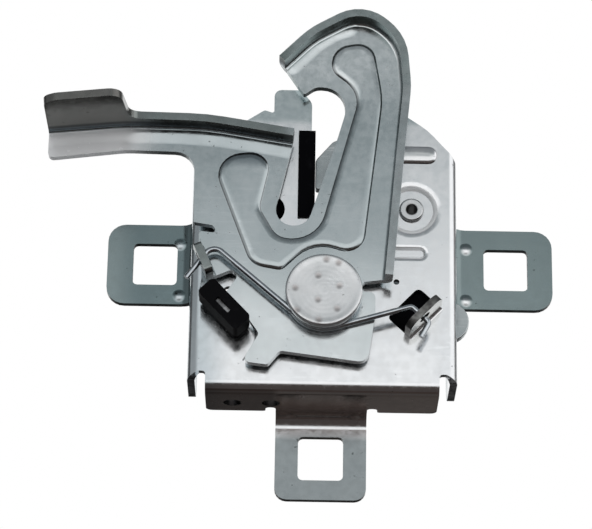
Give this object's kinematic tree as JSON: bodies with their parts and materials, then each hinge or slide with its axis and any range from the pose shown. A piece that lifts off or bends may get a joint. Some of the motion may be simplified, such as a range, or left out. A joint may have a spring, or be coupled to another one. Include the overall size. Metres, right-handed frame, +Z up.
{
  "type": "bonnet latch",
  "caption": "Bonnet latch with a pressed three-eared housing, sprung safety catch lever with finger pad, and primary hook behind.",
  "frame": {"origin": "where the pivot's axis meets the mounting plane, which is the rear face of the three ears", "axes": "+X to the right seen from the front, +Z up in the picture, +Y to the back, out of the ears' rear faces"},
  "size_m": [0.1539, 0.0504, 0.1468],
  "materials": {
    "zinc_steel": "zinc plated, satin with faint blue passivation",
    "zinc_rivet": "zinc plated, dull",
    "spring_steel": "plated wire, satin",
    "black_rubber": "black, matt",
    "black_plastic": "black, satin"
  },
  "bodies": {
    "latch_body": {"housing": "zinc_steel", "pivot_rivet": "zinc_rivet", "front_washer": "zinc_rivet", "back_washer": "zinc_rivet", "end_washer": "zinc_rivet", "spring_collar": "zinc_rivet", "hook_collar": "zinc_rivet", "stop_rivet": "zinc_rivet", "stop_buffer": "black_rubber", "striker_guide": "black_plastic", "glide_pad": "black_plastic", "catch_spring": "spring_steel", "hook_spring": "spring_steel"},
    "safety_catch": {"safety_lever": "zinc_steel"},
    "hook": {"primary_hook": "zinc_steel"}
  },
  "joints": [
    {"name": "safety_catch_swing", "type": "hinge", "parent": "latch_body", "child": "safety_catch", "pos_m": [0, 0, 0], "axis": [0, 1, 0], "range_deg": [0, 10], "stiffness_Nm_per_rad": 0.12, "springref_deg": -17.19, "deforming": ["catch_spring"]},
    {"name": "primary_hook_swing", "type": "hinge", "parent": "latch_body", "child": "hook", "pos_m": [0, 0, 0], "axis": [0, 1, 0], "range_deg": [0, 12], "stiffness_Nm_per_rad": 0.08, "springref_deg": -8.59, "deforming": ["hook_spring"]}
  ]
}
